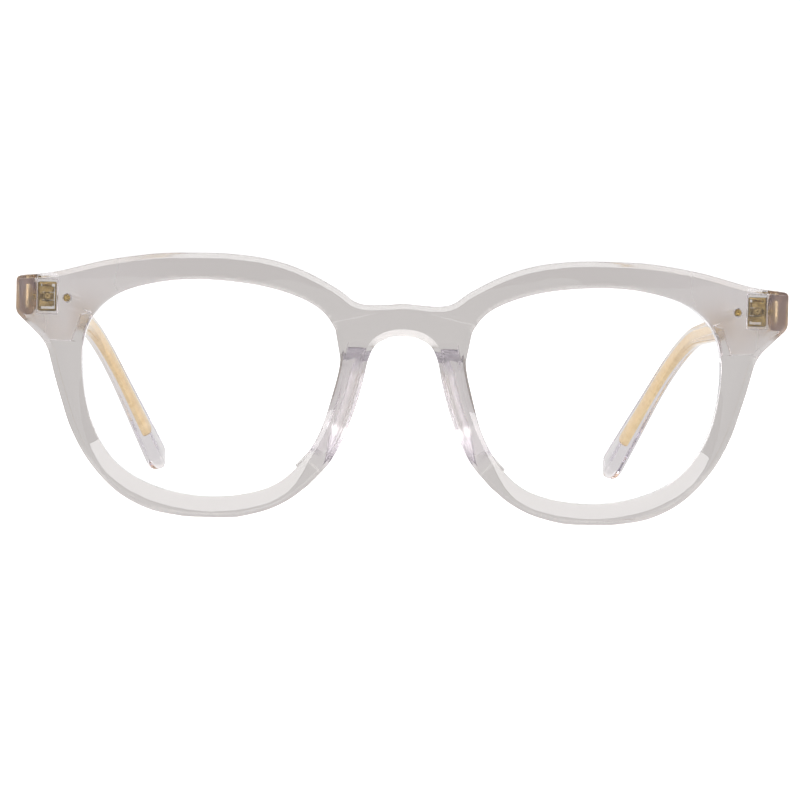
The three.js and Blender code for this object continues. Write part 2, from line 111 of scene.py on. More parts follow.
CURVE_STEPS, OPENING_STEPS = 12, 16
SPACING = 0.5                     # between the cross-sections of the rims
OPENING_SPACING = 0.2
CORNERS = [(0.7, 7), (0.9, 7), (2.2, 9)]  # radius and steps of the end piece's corners, from the top
CHEEK_JOIN = 15                   # the step of the cheek's curve at which the last corner ends
BACK_ROUND = 0.7                  # rounding of the outer back edge
INNER_ROUND = 0.35                # rounding of the back edge of the opening
EDGE_ROUND = 0.1                  # softening of the polished front edges
EDGE_ROOM = 0.35                  # most of the way to the next row that a softening may take
EDGE_LEAD = 0.3                   # share of a softening that is added before and after it
BRIDGE_ROWS, FRONT_ROWS, BACK_ROWS = 12, 7, 10
BACK_ROWS_END = 0.02              # how near the step the rows of the back come
STEP_PLACE, STEP_MOST = 0.12, 0.8  # where the step in the back lies, from the opening outwards

BLOCK_BACK = 12.7                 # back of the hinge block
BLOCK_RAMP = (40, 60.4)           # the block rises from the rim between these
BLOCK_EASE = 0.6                  # how far the foot of the ramp is blended into the rim
BLOCK_LEAD = (20, 4)              # the blending comes in between these distances before the ramp
BLOCK_STEP = 0.1                  # width that its lower wall is drawn over
BLOCK_FOOT = (65.3, 31.4)         # where its lower edge meets the outline
BLOCK_SIDE = [(31.4, 60.4), (33.8, 59.4), (36, 58.6), (36.6, 57)]  # height and distance out
POCKET = {"x": 65, "z": 39.5, "half_x": 2, "half_z": 3.3, "floor": 10.1}
STUD = {"radius": 0.6, "length": 0.8}
PLAY = 0.2
FIT_GAP = 0.3
ON_AXIS, CUT_ON_AXIS = 0.02, 0.05  # how near their axis the profiles of turned bodies and cuts end
BARREL_SIDES, PIN_SIDES, CUT_SIDES = 64, 48, 40
BEYOND = 9                        # how far the cuts run out of the back

PAD_DEPTH = 5
PAD_BASE_HALF = 2
PAD_CREST_HALF = 1
PAD_SPLAY = 1
PAD_SETBACK = 0.25
PAD_TOP = (5.5, 33.6)             # where the line that it follows leaves the nose edge for
PAD_SPAN = (0.02, 0.995)
PAD_FADE = (0.06, 0.42)           # it deepens from its lower end
PAD_BROW = [(27.3, 1), (29.3, 0.8), (31.3, 0.18), (33, 0)]  # share of its depth, over height
PAD_ROOT = 0.6                    # how far the pad runs into the rim that it is bonded to
PAD_SINK = 0.15                   # how far below the rim's back its ends come to lie
PAD_POWER, TEMPLE_POWER, CORE_POWER = 3.4, 3.6, 7  # squareness of the sections, round at 2

LEAF_PLATE = {"width": 3.4, "height": 5.4, "thickness": 0.9}
LEAF_WINDOWS = [                  # low and high corner, from the middle of the plate
    ((-1.4, -2.3), (-0.95, 2.3)), ((-1.2, 1.85), (1.45, 2.3)), ((-1.2, -2.3), (1.45, -1.85)),
    ((0.75, -0.5), (1.45, 0.5)), ((-1.2, -0.5), (-0.75, 0.5)),
    ((-1.2, 0.65), (1.15, 0.8)), ((-1.2, -0.8), (1.15, -0.65)),
]
LAP = 0.1                         # how far joined metal bodies run into each other
HINGE = (65, 13.5, 39.5)
KNUCKLE_RADIUS = 1.35
KNUCKLE_HEIGHT = 1
KNUCKLE_PITCH = 2.55
KNUCKLE_EASE = 0.08
SCREW_RADIUS = 0.5
SCREW_HEAD = {"radius": 0.95, "height": 0.6, "slot_width": 0.3, "slot_depth": 0.3, "slot_turn": 35}
THREAD = {"turns": 9, "pitch": 0.3, "depth": 0.07}
BORE_PLAY, BORE_SPAN = 0.06, (30, 50)
RIVET_HEAD_HEIGHT = 0.4
FRONT_RIVET = {"x": 61.4, "z": 39.3, "radius": 0.65, "head": 0.72, "length": 5.6}
TEMPLE_RIVETS = {"front": 17, "rear": 21.6}
TEMPLE_RIVET = {"radius": 0.55, "head": 1.1, "length": 2.9}

TEMPLE_FACE_X = 67.15             # its inner side at the hinge
TEMPLE_START = (68.95, BLOCK_BACK - 1, 39.85)  # ahead of its butt, which is cut
TEMPLE_BEND = (62.6, 108, 31.9)
TEMPLE_TIP = (49.3, 137, 1.2)
BEND_LEAD = 19
TEMPLE_HEIGHT = (7.3, 4, 6.4)     # at the hinge, the waist and the tip
TEMPLE_THICKNESS = (3.6, 3.1, 4.3)
WAIST = (0.63, 0.74, 1.02)        # where it is reached, left, and where the tip's size is reached
TIP_ROUNDING = 0.972
TEMPLE_LEAF = {"thickness": 0.8, "height": 5, "start": 15.1, "end": 23.6}
CORE_INSET = 0.15
CORE_THICKNESS = 0.7
CORE_HEIGHT = (4, 1.6)            # of the paddle and of the strip
CORE_TAPER = (0.09, 0.17)
CORE_SPAN = (0.014, 0.92)
CORE_END_EASE = 0.004

CREASE = {"front": 32, "lens": 50, "temple": 35, "core": 40, "metal": 38}  # degrees, for shade()


# ---- Curves ----

def spline(points, steps):
    """A uniform Catmull-Rom curve through the points, with that many steps between each two."""
    p = np.array(points, float)
    last = len(p) - 1
    made = []
    for i in range(last):
        before, start, end, after = p[max(i - 1, 0)], p[i], p[i + 1], p[min(i + 2, last)]
        leaving, arriving = (end - before) / 2, (after - start) / 2
        for w in np.arange(steps) / steps:
            made.append((2 * start - 2 * end + leaving + arriving) * w ** 3
                        + (3 * end - 3 * start - 2 * leaving - arriving) * w ** 2
                        + leaving * w + start)
    made.append(p[last])
    return np.array(made)


def lengths(points):
    """How far along the line each of its points is."""
    steps = np.linalg.norm(np.diff(points, axis=0), axis=1)
    return np.concatenate([[0], np.cumsum(steps)])


def resampled(points, spacing):
    at = lengths(points)
    count = max(2, int(round(at[-1] / spacing)) + 1)
    wanted = np.linspace(0, at[-1], count)
    return np.stack([np.interp(wanted, at, points[:, k]) for k in range(points.shape[1])], 1)


def rounded_corner(before, corner, after, radius, steps):
    """Points round a corner, as a curve between the places a radius away from it."""
    before, corner, after = (np.array(p, float) for p in (before, corner, after))
    start = corner + (before - corner) * radius / np.linalg.norm(before - corner)
    end = corner + (after - corner) * radius / np.linalg.norm(after - corner)
    t = np.linspace(0, 1, steps)[:, None]
    return (1 - t) ** 2 * start + 2 * t * (1 - t) * corner + t ** 2 * end


def normals(points, closed):
    """Unit normals to the left of the direction of travel."""
    if closed:
        travel = np.roll(points, -1, 0) - np.roll(points, 1, 0)
    else:
        travel = np.gradient(points, axis=0)
    travel /= np.linalg.norm(travel, axis=1)[:, None]
    return np.stack([-travel[:, 1], travel[:, 0]], 1)


def crossing(a, b, c, d):
    """Where segment ab crosses segment cd, or None."""
    r, s = b - a, d - c
    area = r[0] * s[1] - r[1] * s[0]
    if abs(area) < 1e-12:
        return None
    t = ((c - a)[0] * s[1] - (c - a)[1] * s[0]) / area
    u = ((c - a)[0] * r[1] - (c - a)[1] * r[0]) / area
    return a + t * r if 0 < t < 1 and 0 < u < 1 else None


def without_loops(points, reach=24):
    """The line with the small loops that an offset leaves at tight corners drawn together."""
    p = points.copy()
    i = 0
    while i < len(p) - 3:
        for j in range(min(i + reach, len(p) - 2), i + 1, -1):
            met = crossing(p[i], p[i + 1], p[j], p[j + 1])
            if met is not None:
                p[i + 1:j + 1] = met
                i = j
                break
        i += 1
    return p


def place_along(line, point):
    """How far along the line its point nearest to the given one is."""
    nearest = np.argmin(np.linalg.norm(line - np.array(point, float), axis=1))
    return lengths(line)[nearest]


def smoothstep(low, high, x):
    t = np.clip((np.asarray(x, float) - low) / (high - low), 0, 1)
    return t * t * (3 - 2 * t)


def squircle(c, s, power):
    reach = (abs(c) ** power + abs(s) ** power) ** (1 / power)
    return c / reach, s / reach


def sweep(x):
    return np.asarray(x, float) ** 2 / (2 * SWEEP_RADIUS)


# ---- Meshes ----

def to_world(points):
    world = np.array(points, float).reshape(-1, 3) * MM
    world[:, 1] += FRONT_Y
    return world


def linked(obj):
    bpy.context.scene.collection.objects.link(obj)
    return obj


def new_object(name, points, faces):
    mesh = bpy.data.meshes.new(name)
    mesh.from_pydata(to_world(points).tolist(), [], faces)
    return linked(bpy.data.objects.new(name, mesh))


def edit(obj, action):
    bm = bmesh.new()
    bm.from_mesh(obj.data)
    action(bm)
    bm.to_mesh(obj.data)
    bm.free()
    obj.data.update()
    return obj


def facing_out(obj):
    """Turns every face outwards, so that the mesh is one closed body."""
    def action(bm):
        bmesh.ops.remove_doubles(bm, verts=bm.verts, dist=1e-7)
        bmesh.ops.dissolve_degenerate(bm, dist=1e-8, edges=bm.edges)
        bmesh.ops.recalc_face_normals(bm, faces=bm.faces)
        if bm.calc_volume(signed=True) < 0:
            bmesh.ops.reverse_faces(bm, faces=bm.faces)
    return edit(obj, action)


def shade(obj, kind):
    """Smooth shading, apart from edges that turn by more than the crease angle of the kind."""
    crease = math.radians(CREASE[kind])

    def action(bm):
        for face in bm.faces:
            face.smooth = True
        for edge in bm.edges:
            edge.smooth = len(edge.link_faces) == 2 and edge.calc_face_angle(0) < crease
    edit(obj, action)
    step = obj.modifiers.new("normals", "WEIGHTED_NORMAL")   # keeps wide faces flat beside bevels
    step.keep_sharp = True
    return applied(obj)


def applied(obj):
    """The object with its modifiers made part of its mesh."""
    graph = bpy.context.evaluated_depsgraph_get()
    made = bpy.data.meshes.new_from_object(obj.evaluated_get(graph))
    obj.modifiers.clear()
    old, obj.data = obj.data, made
    bpy.data.meshes.remove(old)
    return obj


def combined(obj, tools, operation):
    """The object after a boolean with each of the tools, which are used up."""
    for tool in tools:
        step = obj.modifiers.new(operation, "BOOLEAN")
        step.operation, step.solver, step.object = operation, "EXACT", tool
    applied(obj)
    for tool in tools:
        bpy.data.objects.remove(tool)
    return obj


def bevelled(obj, width, segments=2, angle=35):
    step = obj.modifiers.new("edges", "BEVEL")
    step.width, step.segments = width * MM, segments
    step.limit_method, step.angle_limit = "ANGLE", math.radians(angle)
    return applied(obj)


def mirrored(obj, name):
    """A copy of the object on the wearer's right."""
    other = linked(bpy.data.objects.new(name, obj.data.copy()))
    other.data.name = name
    other.data.transform(Matrix.Scale(-1, 4, Vector((1, 0, 0))))
    other.data.flip_normals()
    return other


def strip_faces(first, second, count, closed):
    """Quads between two rows of points, given by the index of the first point of each."""
    last = count if closed else count - 1
    return [(first + i, first + (i + 1) % count, second + (i + 1) % count, second + i)
            for i in range(last)]


def loft(name, rings):
    """A closed body through rings of points, with a point in the middle of each end."""
    rings = np.array(rings)
    count, sides = rings.shape[:2]
    points = list(rings.reshape(-1, 3)) + [rings[0].mean(0), rings[-1].mean(0)]
    faces = []
    for i in range(count - 1):
        faces += strip_faces(i * sides, (i + 1) * sides, sides, True)
    for first, middle in ((0, count * sides), ((count - 1) * sides, count * sides + 1)):
        faces += [(first + i, first + (i + 1) % sides, middle) for i in range(sides)]
    return facing_out(new_object(name, points, faces))


def rod(name, stations, sides, place):
    """A body whose ring at each station is place(station, cosine, sine) all the way round."""
    turns = np.arange(sides) * 2 * math.pi / sides
    return loft(name, [[place(t, math.cos(a), math.sin(a)) for a in turns] for t in stations])


def turned(name, profile, sides, origin, axis):
    """A body turned from a profile of (radius, height) round an axis, "x", "y" or "z"."""
    order = {"x": (2, 0, 1), "y": (1, 2, 0), "z": (0, 1, 2)}[axis]
    rings = []
    for radius, height in profile:
        ring = []
        for i in range(sides):
            a = 2 * math.pi * i / sides
            local = (radius * math.cos(a), radius * math.sin(a), height)
            ring.append([origin[k] + local[order[k]] for k in range(3)])
        rings.append(ring)
    return loft(name, rings)


def block(name, low, high):
    """A box, as a tool for cutting or as the blank of a small metal piece."""
    corners = [[(low, high)[i][0], (low, high)[j][1], (low, high)[k][2]]
               for i in (0, 1) for j in (0, 1) for k in (0, 1)]
    faces = [(0, 1, 3, 2), (4, 6, 7, 5), (0, 4, 5, 1), (2, 3, 7, 6), (0, 2, 6, 4), (1, 5, 7, 3)]
    return facing_out(new_object(name, corners, faces))


# ---- Front ----

def outline():
    """The outline of half the front, from the top of the bridge round to its underside."""
    brow, cheek = spline(BROW, CURVE_STEPS), spline(CHEEK, CURVE_STEPS)
    upper, lower = (np.array(p, float) for p in END_PIECE)
    line = np.concatenate([
        brow[:-1],
        rounded_corner(brow[-2], upper, lower, *CORNERS[0]),
        rounded_corner(upper, lower, cheek[0], *CORNERS[1]),
        rounded_corner(lower, cheek[0], cheek[CHEEK_JOIN - 1], *CORNERS[2]),
        cheek[CHEEK_JOIN:],
        spline(UNDER_RIM, CURVE_STEPS)[:-1],
        spline(NOSE, CURVE_STEPS),
    ])
    line = resampled(line, SPACING)

    # Two cross-sections close together, for the lower wall of the hinge block.
    at, step = lengths(line), place_along(line, BLOCK_FOOT)
    near = np.abs(at - step) < 2 * BLOCK_STEP
    wanted = np.sort(np.concatenate([at[~near], [step - BLOCK_STEP / 2, step + BLOCK_STEP / 2]]))
    return np.stack([np.interp(wanted, at, line[:, k]) for k in (0, 1)], 1), step


def opening(margin=0):
    """The edge of the lens opening as a closed line, or a line that far outside it."""
    loop = spline([OPENING[-1]] + OPENING + OPENING[:2], OPENING_STEPS)
    loop = loop[OPENING_STEPS:-2 * OPENING_STEPS]
    line = resampled(np.concatenate([loop[::-1], loop[-1:]]), OPENING_SPACING)[:-1]
    return line + normals(line, True) * margin if margin else line


def values_along(line, table, at, column, period=None):
    """A table's column of numbers, spread over places on the line that its points lie on."""
    places = np.array([place_along(line, row[0]) for row in table])
    values = np.array([row[column] for row in table], float)
    order = np.argsort(places)
    return np.interp(at, places[order], values[order], period=period)


def back_level(x, raised):
    """How far back the front reaches, where raised is 1 along the hinge block and 0 elsewhere."""
    rim = FRONT_THICKNESS + sweep(x)
    start, end = BLOCK_RAMP
    foot = FRONT_THICKNESS + sweep(start)
    climb = np.minimum(foot + (x - start) * (BLOCK_BACK - foot) / (end - start), BLOCK_BACK) - rim
    coming_in = smoothstep(start - BLOCK_LEAD[0], start - BLOCK_LEAD[1], x)
    eased = (climb + np.sqrt(climb ** 2 + BLOCK_EASE ** 2)) / 2 * coming_in
    return np.minimum(rim + eased * raised, BLOCK_BACK)


def softened(rows, corner, radius):
    """Replaces one row of the section by five, which round its corner off."""
    before, middle, after = rows[corner - 1], rows[corner], rows[(corner + 1) % len(rows)]
    into, out = middle - before, after - middle
    room_in = np.linalg.norm(into, axis=1)[:, None]
    room_out = np.linalg.norm(out, axis=1)[:, None]
    into, out = into / np.maximum(room_in, 1e-9), out / np.maximum(room_out, 1e-9)
    near_in, near_out = (np.minimum(radius, room * EDGE_ROOM) for room in (room_in, room_out))
    start, end = middle - into * near_in, middle + out * near_out
    bend = (start + 2 * middle + end) / 4
    return [start - into * near_in * EDGE_LEAD, start, bend, end, end + out * near_out * EDGE_LEAD]


def front_sections():
    """Rows of points round the section of the rim, each with one point per cross-section.

    The first rows run over the front from the opening outwards, then come the outer wall, the
    back and the wall of the opening. The last cross-sections lie on the middle of the bridge."""
    outer, block_foot = outline()
    inner = opening()
    at = lengths(outer)
    count = len(outer)

    # Where each cross-section meets the opening.
    loop = np.concatenate([inner, inner[:1]])
    total = lengths(loop)[-1]
    marks = [(place_along(outer, a), place_along(inner, b)) for a, b in ACROSS]
    turned_marks = np.unwrap([m[1] for m in marks], period=total)
    across_at = np.interp(at, [m[0] for m in marks], turned_marks)
    bridge = np.linspace(turned_marks[-1], turned_marks[0] + total, BRIDGE_ROWS + 2)[1:-1]
    across_at = np.concatenate([across_at, bridge]) % total
    foot = np.stack([np.interp(across_at, lengths(loop), loop[:, k]) for k in (0, 1)], 1)
    side = normals(inner, True)
    side = np.stack([np.interp(across_at, lengths(loop), np.append(side[:, k], side[0, k]))
                     for k in (0, 1)], 1)
    side /= np.linalg.norm(side, axis=1)[:, None]
    if np.mean((side * (foot - np.array(LENS_CENTRE))).sum(1)) < 0:
        side = -side

    facet = values_along(inner, INNER_FACET, across_at, 1, total)[:, None]
    facet_depth = values_along(inner, INNER_FACET, across_at, 2, total)[:, None]
    bevel = values_along(outer, OUTER_BEVEL, at, 1)[:, None]
    bevel_depth = values_along(outer, OUTER_BEVEL, at, 2)[:, None]
    inward = -normals(outer, False)
    inward[0], inward[-1] = (0, -1), (0, 1)

    raised = (at < block_foot).astype(float)
    raised = np.concatenate([raised, np.zeros(BRIDGE_ROWS)])[:, None]
    level_out = back_level(outer[:, :1], raised[:count])

    def middle(low, high):
        return np.stack([np.zeros(BRIDGE_ROWS), np.linspace(low, high, BRIDGE_ROWS + 2)[1:-1]], 1)

    def whole(edge, low, high):
        return np.concatenate([edge, middle(low, high)])

    front_edge = without_loops(outer + inward * bevel)
    front_out = whole(front_edge, front_edge[-1, 1], front_edge[0, 1])
    back_edge = without_loops(outer + inward * BACK_ROUND)
    back_out = whole(back_edge, back_edge[-1, 1], back_edge[0, 1])
    front_in, back_in = foot + side * facet, foot + side * INNER_ROUND

    def at_depth(points, depth):
        return np.concatenate([points[:, :1], depth + sweep(points[:, :1]), points[:, 1:]], 1)

    def at_level(points, level):
        return np.concatenate([points[:, :1], level, points[:, 1:]], 1)

    front = [at_depth(front_in + (front_out - front_in) * t, 0 * raised)
             for t in np.linspace(0, 1, FRONT_ROWS)]

    walls = [at_depth(outer, bevel_depth), at_level(outer, level_out - BACK_ROUND)]
    for a in np.radians([30, 60]):
        points = outer + (back_edge - outer) * (1 - math.cos(a))
        walls.append(at_level(points, level_out - BACK_ROUND * (1 - math.sin(a))))

    # The block's inner side climbs from the rim between two rows of the back.
    heights, sides = zip(*BLOCK_SIDE)
    step_x = np.interp(back_in[:, 1], heights, sides)
    room = np.maximum(back_out[:, 0] - back_in[:, 0], 1e-6)
    step = np.clip((step_x - back_in[:, 0]) / room, 0, STEP_MOST)
    beside = (raised[:, 0] > 0) & (foot[:, 1] < heights[-1])
    step = np.where(beside, step, STEP_PLACE)[:, None]
    open_level = back_level(back_in[:, :1], np.where(beside[:, None], 0, raised))

    back = []
    for t in np.linspace(1, BACK_ROWS_END, BACK_ROWS):
        points = back_in + (back_out - back_in) * (step + (1 - step) * t)
        back.append(at_level(points, back_level(points[:, :1], raised)))
    low = back_in + (back_out - back_in) * step
    back.append(at_level(low, back_level(low[:, :1], np.where(beside[:, None], 0, raised))))
    back.append(at_level(back_in, open_level))

    walls_in = []
    for a in np.radians([60, 30, 0]):
        points = foot + side * INNER_ROUND * (1 - math.cos(a))
        walls_in.append(at_level(points, open_level - INNER_ROUND * (1 - math.sin(a))))
    walls_in.append(at_depth(foot, facet_depth))
    return front, walls, back, walls_in, count


def front_blank():
    """The front without its cuts: rims, bridge and hinge blocks in one swept body."""
    front, walls, back, walls_in, count = front_sections()
    total = count + BRIDGE_ROWS

    # Soften the four polished corners: opening, front edge, bevel and facet.
    inner_rows = softened([walls_in[-1], front[0], front[1]], 1, EDGE_ROUND)
    lower_rows = softened([walls_in[-2], walls_in[-1], front[0]], 1, EDGE_ROUND)
    short = [rows[:count] for rows in (front[-2], front[-1])]
    outer_rows = softened([short[0], short[1], walls[0]], 1, EDGE_ROUND)
    bevel_rows = softened([short[1], walls[0], walls[1]], 1, EDGE_ROUND)
    for softened_row in outer_rows + bevel_rows:   # the ends of the outline meet their mirror image
        softened_row[[0, -1], 0] = 0

    full_rows = inner_rows + front[1:-1]
    edge = np.concatenate([outer_rows[0], front[-1][count:]])
    rows = full_rows + [edge]
    half_rows = outer_rows[1:] + bevel_rows + walls[1:]
    back_rows = back + walls_in[:-1] + lower_rows

    points, faces, starts = [], [], []
    for row in rows + half_rows + back_rows:
        starts.append(len(points))
        points += list(row)
    first_half, first_back = len(rows), len(rows) + len(half_rows)
    for i in range(len(starts)):
        after = (i + 1) % len(starts)
        on_walls = first_half - 1 <= i < first_back
        size = count if on_walls else total
        faces += strip_faces(starts[i], starts[after], size, not on_walls)
    return points, faces


def front_body():
    points, faces = front_blank()
    obj = new_object("crystal_front", points, faces)

    def close(bm):
        copy = bmesh.ops.duplicate(bm, geom=bm.verts[:] + bm.edges[:] + bm.faces[:])
        verts = [v for v in copy["geom"] if isinstance(v, bmesh.types.BMVert)]
        bmesh.ops.scale(bm, vec=(-1, 1, 1), verts=verts)
        bmesh.ops.remove_doubles(bm, verts=bm.verts, dist=1e-6)
    edit(obj, close)
    return facing_out(obj)


def nose_pad(name):
    """A ridge along the back of the rim beside the nose, deepest in the middle of its height."""
    edge = resampled(spline(NOSE[:7] + [PAD_TOP], 16), 0.05)
    at = lengths(edge) / lengths(edge)[-1]
    travel = np.gradient(edge, axis=0)
    travel /= np.linalg.norm(travel, axis=1)[:, None]

    def place(t, c, s):
        foot = [np.interp(t, at, edge[:, k]) for k in (0, 1)]
        direction = [np.interp(t, at, travel[:, k]) for k in (0, 1)]
        across, deep = squircle(c, s, PAD_POWER)
        level = foot[1] - direction[0] * (PAD_SETBACK + PAD_BASE_HALF * (1 + across))
        fullness = float(smoothstep(*PAD_FADE, t)) * np.interp(level, *zip(*PAD_BROW))
        height = (deep + 1) / 2
        share = height * fullness
        half = PAD_BASE_HALF + (PAD_CREST_HALF - PAD_BASE_HALF) * share
        offset = PAD_SETBACK + PAD_BASE_HALF + PAD_SPLAY * share + across * half
        x = foot[0] + direction[1] * offset
        z = foot[1] - direction[0] * offset
        root = FRONT_THICKNESS - PAD_ROOT + float(sweep(x))
        crest = (PAD_ROOT + FIT_GAP + PAD_DEPTH) * fullness + (PAD_ROOT - PAD_SINK) * (1 - fullness)
        return x, root + height * crest, z

    return rod(name, np.linspace(*PAD_SPAN, 90), 40, place)


def hinge_cuts():
    """The pocket of the front leaf, the hole of its stud and the hole of the front rivet."""
    x, z, floor = POCKET["x"], POCKET["z"], POCKET["floor"]
    pocket = block("pocket", (x - POCKET["half_x"], floor, z - POCKET["half_z"]),
                   (x + POCKET["half_x"], floor + BEYOND, z + POCKET["half_z"]))
    bevelled(pocket, 0.22, 3)
    radius, tip = STUD["radius"] + PLAY, floor - STUD["length"]
    stud = turned("stud_hole", [(CUT_ON_AXIS, tip), (radius, tip),
                                (radius, floor + 1), (CUT_ON_AXIS, floor + 1)],
                  CUT_SIDES, (x, 0, z), "y")
    radius, tip = FRONT_RIVET["radius"] + PLAY, BLOCK_BACK - FRONT_RIVET["length"]
    hole = turned("rivet_hole", [(CUT_ON_AXIS, tip), (radius - 0.1, tip), (radius, tip + 0.1),
                                 (radius, tip + BEYOND), (CUT_ON_AXIS, tip + BEYOND)],
                  CUT_SIDES, (FRONT_RIVET["x"], 0, FRONT_RIVET["z"]), "y")
    return [pocket, stud, hole]


def crystal_front():
    """The front with its bonded nose pads, which are polished into the rims without a seam."""
    body = front_body()
    left_pad = nose_pad("pad_left")
    right_pad = mirrored(left_pad, "pad_right")
    combined(body, [left_pad, right_pad], "UNION")
    cuts = hinge_cuts()
    cuts += [mirrored(cut, cut.name + "_right") for cut in cuts]
    combined(body, cuts, "DIFFERENCE")
    return shade(body, "front")


def lens(name):
    """A thin meniscus that fills the opening and bulges a little to the front."""
    edge = opening(LENS_SEAT)
    centre = np.array(LENS_CENTRE)
    mid, half = FRONT_THICKNESS / 2, LENS_THICKNESS / 2
    rings = []
    for first, last, face in ((LENS_MIDDLE, 1, -1), (1, LENS_MIDDLE, 1)):
        for share in np.linspace(first, last, LENS_RINGS):
            ring = centre + (edge[::LENS_STRIDE] - centre) * share
            inset = LENS_EDGE_EASE if share == 1 else 0
            depth = mid + face * (half - inset) - LENS_BULGE * (1 - share ** 2)
            rings.append(np.stack([ring[:, 0], depth + sweep(ring[:, 0]), ring[:, 1]], 1))
    return shade(loft(name, rings), "lens")


# ---- Temples ----

def temple_path():
    """The temple's middle line: straight to the bend, a curve round it, straight to the tip."""
    start, bend, tip = (np.array(p, float) for p in (TEMPLE_START, TEMPLE_BEND, TEMPLE_TIP))
    bend_in = bend + (start - bend) / np.linalg.norm(start - bend) * BEND_LEAD
    bend_out = bend + (tip - bend) / np.linalg.norm(tip - bend) * BEND_LEAD
    t = np.linspace(0, 1, 200)[:, None]
    curve = (1 - t) ** 2 * bend_in + 2 * t * (1 - t) * bend + t ** 2 * bend_out
    return resampled(np.concatenate([[start], curve, [tip]]), 0.05)


TEMPLE_LINE = temple_path()
TEMPLE_AT = lengths(TEMPLE_LINE) / lengths(TEMPLE_LINE)[-1]
TEMPLE_TRAVEL = np.gradient(TEMPLE_LINE, axis=0)


def temple_point(t, sideways, upwards):
    """The point that far outwards and upwards from the middle line, square to it."""
    point = np.array([np.interp(t, TEMPLE_AT, TEMPLE_LINE[:, k]) for k in range(3)])
    travel = np.array([np.interp(t, TEMPLE_AT, TEMPLE_TRAVEL[:, k]) for k in range(3)])
    travel /= np.linalg.norm(travel)
    side = np.array([1, 0, 0]) - travel * travel[0]
    side /= np.linalg.norm(side)
    return point + side * sideways + np.cross(side, travel) * upwards


def temple_size(t):
    """Height and thickness at a share of the temple's length."""
    beyond = max(0, (t - TIP_ROUNDING) / (1 - TIP_ROUNDING))
    rounding = math.sqrt(max(0.015, 1 - beyond ** 2))
    full, slim, last = WAIST
    return [rounding * float(hinge + (waist - hinge) * smoothstep(0, full, t)
                             + (tip - waist) * smoothstep(slim, last, t))
            for hinge, waist, tip in (TEMPLE_HEIGHT, TEMPLE_THICKNESS)]


def crystal_temple(name):
    """The temple, cut square behind the hinge block and flat where it would pass the surface."""
    def place(t, c, s):
        height, thickness = temple_size(t)
        x, z = squircle(c, s, TEMPLE_POWER)
        return temple_point(t, x * thickness / 2, z * height / 2)

    stations = np.concatenate([np.linspace(0.002, 0.55, 60), np.linspace(0.56, 0.96, 60),
                               0.962 + 0.038 * np.sin(np.linspace(0, math.pi / 2, 20))])
    arm = rod(name, stations, 56, place)

    def trim(bm):
        butt = FRONT_Y + (BLOCK_BACK + FIT_GAP) * MM
        for point, normal in (((0, butt, 0), (0, -1, 0)), ((0, 0, 0), (0, 0, -1))):
            everything = bm.verts[:] + bm.edges[:] + bm.faces[:]
            cut = bmesh.ops.bisect_plane(bm, geom=everything, plane_co=point, plane_no=normal,
                                         clear_outer=True, dist=1e-7)
            rim = [e for e in cut["geom_cut"] if isinstance(e, bmesh.types.BMEdge)]
            if not rim:
                continue
            made = bmesh.ops.contextual_create(bm, geom=rim)
            if normal[1]:
                edges = [e for f in made["faces"] for e in f.edges]
                bmesh.ops.bevel(bm, geom=edges, offset=0.3 * MM, segments=3, profile=0.5,
                                affect="EDGES", clamp_overlap=True)
    edit(arm, trim)
    facing_out(arm)
    half = TEMPLE_LEAF["height"] / 2 + PLAY
    recess = block("recess", (HINGE[0] - 5, TEMPLE_LEAF["start"] - PLAY, HINGE[2] - half),
                   (TEMPLE_FACE_X - FIT_GAP + PLAY, TEMPLE_LEAF["end"] + PLAY, HINGE[2] + half))
    bevelled(recess, 0.15, 2)
    combined(arm, [recess], "DIFFERENCE")
    return shade(arm, "temple")


def core_strip(name):
    """The flat strip inside the temple, deeper near the hinge, with its sheared ends eased."""
    start, end = CORE_SPAN

    def place(t, c, s):
        x, z = squircle(c, s, CORE_POWER)
        paddle, strip = CORE_HEIGHT
        height = paddle + (strip - paddle) * float(smoothstep(*CORE_TAPER, t))
        near_end = min(t - start, end - t) / CORE_END_EASE
        ease = math.sqrt(max(0.3, 1 - max(0, 1 - near_end) ** 2))
        return temple_point(t, x * CORE_THICKNESS / 2 * ease - CORE_INSET, z * height / 2 * ease)

    ends = CORE_END_EASE * (1 - np.cos(np.linspace(0, math.pi / 2, 6)))
    stations = np.concatenate([start + ends, np.linspace(start + 2 * CORE_END_EASE, 0.2, 40),
                               np.linspace(0.22, end - 2 * CORE_END_EASE, 90), end - ends[::-1]])
    return shade(rod(name, stations, 36, place), "core")


# ---- Hinge, screw and rivets ----

def barrel(low, high):
    """A knuckle round the hinge's axis between two heights."""
    radius, ease = KNUCKLE_RADIUS, KNUCKLE_EASE
    profile = [(ON_AXIS, low), (radius - ease, low), (radius, low + ease),
               (radius, high - ease), (radius - ease, high), (ON_AXIS, high)]
    return turned("knuckle", profile, BARREL_SIDES, (HINGE[0], HINGE[1], 0), "z")


def screw_bore():
    radius, (low, high) = SCREW_RADIUS + BORE_PLAY, BORE_SPAN
    return turned("bore", [(ON_AXIS, low), (radius, low), (radius, high), (ON_AXIS, high)],
                  PIN_SIDES, (HINGE[0], HINGE[1], 0), "z")


